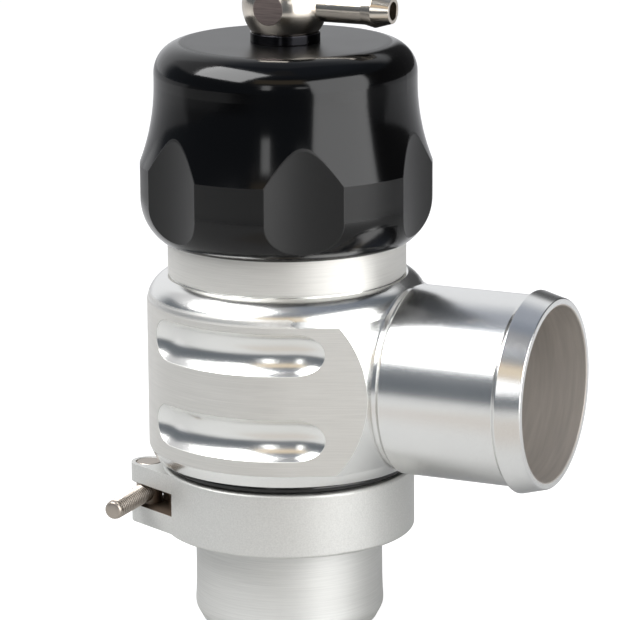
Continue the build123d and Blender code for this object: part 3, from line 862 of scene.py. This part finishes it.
class Finish(Enum):
    """Finishes of the valve, by the record's material slots."""

    TURNED = Metal(
        "turned_aluminium", (0.72, 0.72, 0.70), 0.52, mark_depth=1e-6, streak=0.3, drawn=0.3, bare=0.75
    )
    BLASTED = RingAluminium(
        "blasted_aluminium", (0.66, 0.66, 0.64), 0.5, grain_depth=3e-6, speckle=0.36, bare=0.78
    )
    SATIN = BodyAluminium("satin_aluminium", (0.86, 0.86, 0.84), 0.22, mark_depth=1e-6, streak=0.28)
    BRIGHT = OutletAluminium(
        "bright_aluminium",
        (0.86, 0.86, 0.85),
        0.22,
        Lathe.SIDEWAYS,
        mark_depth=8e-7,
        grain_depth=1.4e-6,
        grain_scale=3500.0,
        speckle=0.2,
    )
    NICKEL = NickelPlate("nickel_plate", (0.72, 0.66, 0.58), 0.2, mark_depth=2e-7)
    SCREW = ScrewSteel("screw_steel", (0.46, 0.41, 0.36), 0.36, edge_radius=0.00001)
    SPRING = Metal("spring_steel", (0.45, 0.44, 0.43), 0.35)
    WASHER = Metal("washer_metal", (0.03, 0.03, 0.034), 0.14, edge_radius=0.0003)
    ANODISED = CapAnodised("black_anodised", rough=0.12, ior=1.41)
    RUBBER = Anodised("seal_rubber", (0.006, 0.006, 0.006), 0.12, 1.5)
    PLASTIC = Anodised("guide_plastic", (0.5, 0.36, 0.2), 0.45, 1.5)


# Studio


@dataclass(frozen=True)
class SoftBox:
    """A flat soft light that fills a range of directions from the valve.

    Angles are in degrees, azimuths from the camera's, the distance is in metres, and a radiance of 1 is
    that of white paper.
    """

    name: str
    azimuths: Pair
    elevations: Pair
    distance: float
    radiance: float


@dataclass(frozen=True)
class Patch:
    """A grey patch of the room, by its range of directions in degrees."""

    azimuths: Pair
    elevations: Pair
    shade: float


SOFT_BOXES = (
    SoftBox("right_box", (22, 74), (-10, 40), 0.38, 3.8),
    SoftBox("left_box", (-90, -44), (32, 68), 0.60, 9.0),
    SoftBox("lamp_left", (-20, -13), (7, 23), 0.80, 3.2),
    SoftBox("lamp_right", (9, 18), (12, 18), 0.80, 2.2),
)
PATCHES = (
    Patch((80, 172), (-18, 32), 0.06),
    Patch((-140, -92), (26, 58), 0.55),
    Patch((-30, 15), (60, 82), 0.26),
    Patch((-30, 5), (18, 26), 0.25),
)


@dataclass
class Studio:
    """Camera at the photograph's angle, pale table, backdrop and soft lights, in metres."""

    camera_place: tuple[float, float, float] = (0.3053, -0.6474, 0.2380)
    forward: tuple[float, float, float] = (-0.4088, 0.8812, -0.2374)
    roll: float = -0.0066
    lens: float = 214.2
    camera_azimuth: float = -64.7
    centre: tuple[float, float, float] = (0.0, 0.0, 0.08)
    table_front: float = 0.42
    table_back: float = 3.0
    table_width: float = 6.0
    table_tones: tuple[Colour, Colour] = ((0.42, 0.42, 0.415), (0.44, 0.44, 0.435))
    # Colour of the warm painted shadow on the table in front of the valve
    table_shadow_colour: Colour = (0.38, 0.355, 0.325)
    table_glow: Colour = (0.35, 0.35, 0.36)
    table_white: Colour = (0.8, 0.8, 0.8)
    room: Colour = (0.11, 0.125, 0.145)
    backdrop: Colour = (0.85, 0.86, 0.88)
    ceiling: Colour = (0.21, 0.24, 0.30)
    floor: Colour = (0.02, 0.02, 0.02)
    cream: Colour = (0.78, 0.64, 0.46)

    def add_camera(self) -> None:
        """Adds the camera and makes it the scene's."""
        data = bpy.data.cameras.new("camera")
        data.lens = self.lens
        data.sensor_width = 36.0
        data.clip_start = 0.01
        camera = bpy.data.objects.new("camera", data)
        bpy.context.scene.collection.objects.link(camera)
        forward = Vector(self.forward).normalized()
        right = forward.cross(VALVE_AXIS).normalized()
        up = right.cross(forward)
        tilt_right = right * math.cos(self.roll) + up * math.sin(self.roll)
        tilt_up = up * math.cos(self.roll) - right * math.sin(self.roll)
        axes = Matrix((tilt_right, tilt_up, -forward)).transposed()
        camera.matrix_world = Matrix.Translation(self.camera_place) @ axes.to_4x4()
        bpy.context.scene.camera = camera
        bpy.context.scene.view_settings.view_transform = "Standard"

    def direction(self, azimuth: float, elevation: float) -> Vector:
        """Finds a direction from the valve.

        Args:
            azimuth: Degrees from the camera's azimuth, to the image's right.
            elevation: Degrees above the level.

        Returns:
            The unit vector.
        """
        turn = math.radians(self.camera_azimuth + azimuth)
        rise = math.radians(elevation)
        return Vector((math.cos(rise) * math.cos(turn), math.cos(rise) * math.sin(turn), math.sin(rise)))

    def add_light(self, box: SoftBox) -> None:
        """Adds a soft box.

        Args:
            box: Its directions, distance and brightness.
        """
        width, height = (
            2 * box.distance * math.tan(math.radians(span[1] - span[0]) / 2)
            for span in (box.azimuths, box.elevations)
        )
        data = bpy.data.lights.new(box.name, "AREA")
        data.shape = "RECTANGLE"
        data.size = width
        data.size_y = height
        data.energy = box.radiance * math.pi * data.size * data.size_y
        light = bpy.data.objects.new(box.name, data)
        bpy.context.scene.collection.objects.link(light)
        towards = self.direction(sum(box.azimuths) / 2, sum(box.elevations) / 2)
        light.location = Vector(self.centre) + towards * box.distance
        light.rotation_euler = towards.to_track_quat("Z", "Y").to_euler()
        light.visible_camera = False

    def room_colour(self, graph: Graph) -> Value:
        """Paints the room by direction: dark round the camera, white behind the valve.

        Args:
            graph: Graph of the world.

        Returns:
            The colour.
        """
        direction = graph.node("ShaderNodeTexCoord", output="Generated")
        turn = {"Vector": direction, "Angle": math.radians(-self.camera_azimuth), "Axis": VALVE_AXIS}
        x, y, z = graph.node("ShaderNodeVectorRotate", {"rotation_type": "AXIS_ANGLE"}, turn).split()
        azimuth = y.angle(x) * (180 / math.pi)
        elevation = z.arcsine() * (180 / math.pi)
        side = azimuth.absolute()
        colour = side.rise(120, 142).blend(self.room, self.backdrop)
        colour = (elevation.rise(40, 65) * 0.8).blend(colour, self.ceiling)
        for patch in PATCHES:
            window = azimuth.within(*patch.azimuths, 8) * elevation.within(*patch.elevations, 6)
            colour = window.blend(colour, (patch.shade, patch.shade, patch.shade * 1.03))
        below = (1 - elevation.rise(-9, -4)) * (side.rise(20, 45) * 0.8 + 0.2)
        colour = (below * (1 - side.rise(100, 120))).blend(colour, self.floor)
        return (azimuth.within(-30, 18, 8) * elevation.within(27, 42, 4)).blend(colour, self.cream)

    def add_world(self) -> None:
        """Adds the room that the metal reflects; the camera sees plain white."""
        world = bpy.data.worlds.new("room")
        bpy.context.scene.world = world
        world.use_nodes = True
        graph = Graph(world.node_tree)
        room = graph.node("ShaderNodeBackground", inputs={"Color": self.room_colour(graph), "Strength": 1.0})
        paper = graph.node("ShaderNodeBackground", inputs={"Color": (1, 1, 1, 1), "Strength": 1.0})
        seen = graph.node("ShaderNodeLightPath", output="Is Camera Ray")
        mixed = graph.node("ShaderNodeMixShader", inputs={0: seen, 1: room, 2: paper})
        graph.show(mixed, "ShaderNodeOutputWorld")

    def table_material(self) -> bpy.types.Material:
        """Builds the table's paper, with a warm painted shadow in front of the valve, and glowing white
        behind it.

        Returns:
            The material.
        """
        material, graph = new_material("pale_table")
        seen = graph.node("ShaderNodeLightPath", output="Is Camera Ray")
        place = graph.place()
        near, side, _ = place.split()
        # Painted shadow on the paper in front of the valve
        shadow_ahead = near.within(0.08, 0.19, 0.05) * side.within(-0.08, 0.10, 0.05)
        paper = place.noise(300.0).blend(*self.table_tones)
        behind = (0 - near).rise(0.02, 0.15).blend((0.0, 0.0, 0.0), self.table_glow)
        shader = {
            "Base Color": shadow_ahead.blend(paper, self.table_shadow_colour),
            "Roughness": 0.7,
            "Emission Color": seen.blend(behind, self.table_white),
            "Emission Strength": 1.0,
        }
        graph.cover(shader)
        return material

    def add_table(self) -> None:
        """Adds the table, which ends a little in front of the valve and runs far behind it."""
        deselect_all()
        bpy.ops.mesh.primitive_plane_add(size=1.0)
        table = bpy.context.object
        table.name = "table"
        table.scale = (self.table_back + self.table_front, self.table_width, 1.0)
        table.location = ((self.table_front - self.table_back) / 2, 0.0, -0.0002)
        bpy.ops.object.transform_apply(location=True, rotation=False, scale=True)
        table.rotation_euler = (0.0, 0.0, math.radians(self.camera_azimuth))
        table.data.materials.append(self.table_material())

    def build(self) -> None:
        """Adds the camera, the room, the lights and the table."""
        self.add_camera()
        self.add_world()
        for box in SOFT_BOXES:
            self.add_light(box)
        self.add_table()


# Sub-assemblies, in millimetres


@dataclass
class Assembly:
    """A sub-assembly of the valve: its body in the frame and the finishes it uses."""

    body: str
    finishes: dict[str, bpy.types.Material]

    def coat(self, piece: bpy.types.Object, slot: str) -> None:
        """Gives a piece the finish of a slot."""
        piece.data.materials.clear()
        piece.data.materials.append(self.finishes[slot])

    def settle(self, piece: bpy.types.Object, slot: str, *nodes: str) -> None:
        """Gives a piece its finish and its body, and hides the CAD nodes that it stands for.

        Args:
            piece: The finished piece.
            slot: Material slot of the record.
            nodes: CAD nodes that it replaces.
        """
        self.coat(piece, slot)
        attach(piece, self.body)
        if nodes:
            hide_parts(*nodes)
        log.info("%s: %d faces on %s", piece.name, len(piece.data.polygons), self.body)


@dataclass
class OutletTube(Assembly):
    """Side outlet: spigot in the body's port, straight hose tube, bead at the rim."""

    height: float = OUTLET_Z
    outer: float = 18.84
    bore: float = 17.3
    throat: float = 16.4
    bore_step: Pair = (31.0, 31.9)
    spigot: float = 18.0
    start: float = 21.65
    ring_groove: Pair = (22.65, 24.25)
    groove_floor: float = 17.05
    root: Pair = (27.1, 27.9)
    bead_start: float = 51.5
    crest: float = 52.4
    crest_radius: float = 20.0
    rim: float = 57.3
    rim_radius: float = 18.72

    def build(self) -> None:
        """Turns the tube with its O-ring groove and bore step, and rounds its edges."""
        before, after = self.ring_groove
        outline = Outline([(self.throat, self.start), (self.spigot, self.start), (self.spigot, before)])
        outline.to((self.groove_floor, before), (self.groove_floor, after), (self.spigot, after))
        outline.to((self.spigot, self.root[0]), (self.outer, self.root[1]), (self.outer, self.bead_start))
        outline.to((self.crest_radius, self.crest), (self.rim_radius, self.rim), (self.bore, self.rim))
        outline.to((self.bore, self.bore_step[1]), (self.throat, self.bore_step[0]))
        tube = Lathe.SIDEWAYS.turn("outlet_hose_tube", outline, 256, self.height)
        round_edges(tube, 0.22, 3, 12.0)
        self.settle(tube, "bright_aluminium", "outlet_tube")


@dataclass
class InletTube(Assembly):
    """Inlet adaptor: hose tube with a rounded bead, hub, and the lower V flange."""

    outer: float = 18.85
    bore: float = 16.9
    throat: float = 16.4
    bore_step: Pair = (23.0, 23.5)
    rim_radius: float = 17.7
    rim_line: tuple[Pair, ...] = ((17.95, 0.45), (17.83, 0.62), (18.08, 0.72), (18.55, 1.55), (18.85, 2.2))
    bead: tuple[Pair, ...] = ((18.98, 2.6), (19.04, 3.1), (19.04, 3.7), (18.98, 4.6))
    tube: Pair = (8.0, 20.5)
    hub: tuple[Pair, ...] = ((19.8, 20.5), (20.6, 21.3))
    flange: float = 22.6
    flange_edge: float = 1.2
    flange_angle: float = 20.0
    ring_groove: Pair = (18.0, 20.0)
    groove_depth: float = 1.55

    def build(self) -> None:
        """Turns the adaptor and rounds its edges."""
        edge = JOINT_Z - self.flange_edge
        neck = self.hub[-1][0]
        lower = edge - (self.flange - neck) * math.tan(math.radians(self.flange_angle))
        inner, outer = self.ring_groove
        floor = JOINT_Z - self.groove_depth
        outline = Outline([(self.bore, 0.0), (self.rim_radius, 0.0)])
        outline.to(*self.rim_line, *self.bead, (self.outer, self.tube[0]), (self.outer, self.tube[1]))
        outline.to(*self.hub, (neck, lower), (self.flange, edge), (self.flange, JOINT_Z))
        outline.to((outer, JOINT_Z), (outer, floor), (inner, floor), (inner, JOINT_Z))
        outline.to((self.throat, JOINT_Z), (self.throat, self.bore_step[1]), (self.bore, self.bore_step[0]))
        tube = Lathe.UPRIGHT.turn("inlet_hose_tube", outline, 256)
        round_edges(tube, 0.08, 2, 30.0)
        self.settle(tube, "turned_aluminium", "inlet_adaptor")


@dataclass
class ClampScrew(Assembly):
    """Clamp screw: threaded shank with a chamfered tip and a socket head."""

    head_face: float = 14.05
    head_height: float = 4.0
    head_radius: float = 3.5
    socket_width: float = 3.0
    socket_depth: float = 2.0
    head_edge: tuple[Pair, ...] = ((3.5, -0.6), (3.3, -0.18), (2.9, 0.0))
    length: float = 40.6
    radius: float = 1.95
    pitch: float = 0.7
    depth: float = 0.24
    crest: Pair = (0.26, 0.48)
    root_flat: float = 0.04
    plain_tip: float = 0.65
    tip_line: tuple[Pair, ...] = ((1.2, 0.0), (1.55, 0.1), (1.78, 0.35), (1.86, 0.6), (1.86, 1.1))

    def build(self) -> None:
        """Models the thread, the tip and the head, and joins them."""
        shank = self.thread()
        head = self.head()
        choose(head)
        shank.select_set(True)
        bpy.ops.object.join()
        shade(head, 30.0)
        self.settle(head, "screw_steel", "clamp_screw")

    def thread(self) -> bpy.types.Object:
        """Winds one V of thread down the shank's axis.

        Returns:
            The threaded shank, along Y.
        """
        root = self.radius - self.depth
        turns = math.ceil((self.length - self.plain_tip) / self.pitch)
        start = self.head_face - self.length + self.plain_tip
        profile = [(root, 0.0), (root, self.root_flat)]
        profile += [(self.radius, along) for along in self.crest]
        profile.append((root, self.pitch))
        first = Vector((SCREW_X + root, start, JOINT_Z)) * MM
        steps = zip(profile, profile[1:])
        runs = [Vector((there[0] - here[0], there[1] - here[1], 0.0)) * MM for here, there in steps]
        piece = draw_line("clamp_screw_thread", first, runs)
        bpy.ops.object.mode_set(mode="OBJECT")
        bpy.context.scene.cursor.location = (SCREW_X * MM, 0.0, JOINT_Z * MM)
        bpy.ops.object.origin_set(type="ORIGIN_CURSOR")
        merging = {"use_merge_vertices": True, "merge_threshold": 1e-6}
        winding = {"angle": 2 * math.pi, "screw_offset": self.pitch * MM, "iterations": turns - 1}
        apply_modifier(piece, "SCREW", axis="Y", steps=32, render_steps=32, **merging, **winding)
        apply_place(piece)
        bpy.context.scene.cursor.location = (0.0, 0.0, 0.0)
        turn_outwards()
        return piece

    def head(self) -> bpy.types.Object:
        """Turns the head with its core and tip, and sinks the hexagon socket.

        Returns:
            The head, core and tip.
        """
        core = self.radius - self.depth + 0.01
        tip = self.head_face - self.length
        top = self.head_face + self.head_height
        outline = Outline([(0.0, tip)]).to(*((radius, tip + along) for radius, along in self.tip_line))
        outline.to((core, tip + 1.2), (core, self.head_face), (self.head_radius, self.head_face))
        outline.to(*((radius, top + along) for radius, along in self.head_edge)).to((0.0, top))
        head = Lathe.SIDEWAYS.turn("clamp_socket_screw", outline, 64)
        head.rotation_euler = (0.0, 0.0, math.pi / 2)
        head.location = Vector((SCREW_X, 0.0, JOINT_Z)) * MM
        apply_place(head)
        corner = self.socket_width / 2 / math.cos(math.pi / 6)
        depth = 2 * self.socket_depth
        bpy.ops.mesh.primitive_cylinder_add(vertices=6, radius=corner * MM, depth=depth * MM)
        socket = bpy.context.object
        socket.rotation_euler = (math.pi / 2, 0.0, 0.0)
        socket.location = Vector((SCREW_X, top, JOINT_Z)) * MM
        apply_place(socket)
        cut(head, socket)
        return head


@dataclass
class Trunnion(Assembly):
    """Upright barrel in a clamp ear, with chamfered ends and a cross hole for the screw."""

    name: str
    node: str
    place_y: float
    radius: float = 2.65
    bottom: float = 19.4
    top: float = 31.5
    chamfer: float = 0.3
    hole_radius: float = 2.0

    def build(self) -> None:
        """Turns the barrel, stands it in its ear and drills it."""
        inner = self.radius - self.chamfer
        outline = Outline([(0.0, self.bottom), (inner, self.bottom)])
        outline.to((self.radius, self.bottom + self.chamfer), (self.radius, self.top - self.chamfer))
        outline.to((inner, self.top), (0.0, self.top))
        barrel = Lathe.UPRIGHT.turn(self.name, outline, 64)
        barrel.location = Vector((SCREW_X, self.place_y, 0.0)) * MM
        apply_place(barrel)
        hole_place = Vector((SCREW_X, self.place_y, JOINT_Z)) * MM
        turned = (math.pi / 2, 0.0, 0.0)
        size = {"radius": self.hole_radius * MM, "depth": 4 * self.radius * MM}
        bpy.ops.mesh.primitive_cylinder_add(vertices=64, location=hole_place, rotation=turned, **size)
        cut(barrel, bpy.context.object)
        shade(barrel, 30.0)
        self.settle(barrel, "screw_steel", self.node)


@dataclass
class NeckGasket(Assembly):
    """Black ring that fills the groove between the clamp and the body."""

    inner: float = 20.75
    lip: float = 24.0
    bottom: float = 32.0
    top: float = 33.9
    arc_centre: Pair = (23.95, 32.95)
    arc_radius: float = 0.95

    def build(self) -> None:
        """Turns the ring with a rounded outer edge."""
        outline = Outline([(self.inner, self.bottom), (self.lip, self.bottom)])
        outline.arc(self.arc_centre, -90, 90, self.arc_radius, 12).to((self.inner, self.top))
        ring = Lathe.UPRIGHT.turn("neck_gasket", outline, 192)
        shade(ring, 40.0)
        self.settle(ring, "seal_rubber")


@dataclass
class SpringCoils(Assembly):
    """Some coils of the spring.

    The first and last coils are given as shares of the spring's length from low to high.
    """

    name: str
    other_body: str
    low: float
    high: float
    first: float
    last: float
    coils: float = 9.0
    coil_radius: float = 13.5
    wire_radius: float = 1.1
    steps: int = 32

    def build(self) -> None:
        """Winds the wire and closes its ends."""
        run = self.high - self.low
        start = self.low + run * self.first
        end = self.low + run * self.last
        turns = self.coils * (self.last - self.first)
        angle = 2 * math.pi * self.coils * self.first
        across = (self.coil_radius * math.cos(angle), self.coil_radius * math.sin(angle))
        place = Vector((*across, start)) * MM
        deselect_all()
        wire = {"radius": self.wire_radius * MM, "location": place, "rotation": (math.pi / 2, 0.0, angle)}
        bpy.ops.mesh.primitive_circle_add(vertices=16, **wire)
        piece = bpy.context.object
        piece.name = self.name
        piece.data.name = self.name
        apply_place(piece)
        steps = round(turns * self.steps)
        winding = {"angle": 2 * math.pi * turns, "screw_offset": (end - start) * MM, "iterations": 1}
        apply_modifier(piece, "SCREW", axis="Z", steps=steps, render_steps=steps, **winding)
        turn_outwards(fill=True)
        shade(piece, 40.0)
        self.coat(piece, "spring_steel")
        start * MM
        end * MM
        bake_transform(piece)
        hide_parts("spring")
        faces = len(piece.data.polygons)
        log.info("%s: %d faces from %s to %s", piece.name, faces, self.body, self.other_body)


def dress_nodes(nodes: dict[str, bpy.types.Object], made: dict[str, bpy.types.Material]) -> None:
    """Gives every CAD node the finish of its slot.

    Args:
        nodes: The nodes' objects by name.
        made: The finishes by slot.
    """
    for name, node in nodes.items():
        for slot in node.material_slots:
            slot.material = made.get(slot.material.name.split(".")[0], slot.material)
            log.info("%s: %s", name, slot.material.name)


def list_assemblies(made: dict[str, bpy.types.Material]) -> tuple[Assembly, ...]:
    """Lists the modelled sub-assemblies in the order that they are built.

    Args:
        made: The finishes by slot.

    Returns:
        The sub-assemblies.
    """
    bottom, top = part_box("spring")
    low = bottom[2] / MM + SpringCoils.wire_radius
    high = top[2] / MM - SpringCoils.wire_radius
    return (
        OutletTube("housing", made),
        InletTube("base", made),
        ClampScrew("base", made),
        Trunnion("base", made, "clamp_barrel_front", "clamp_trunnion_front", -10.4),
        Trunnion("base", made, "clamp_barrel_rear", "clamp_trunnion_rear", 10.4),
        NeckGasket("housing", made),
        SpringCoils("valve", made, "spring_lower_coils", "housing", low, high, 0.0, 0.75),
        SpringCoils("housing", made, "spring_upper_coils", "spring_carrier", low, high, 0.75, 1.0),
    )


def main() -> None:
    """Builds the studio and the sub-assemblies, and dresses every node."""
    logging.basicConfig(level=logging.INFO, format="%(message)s")
    made = {finish.value.name: finish.value.make() for finish in Finish}
    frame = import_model()
    deselect_all()
    Studio().build()
    dress_nodes(frame["nodes"], made)
    for assembly in list_assemblies(made):
        assembly.build()


if __name__ == "__main__":
    main()
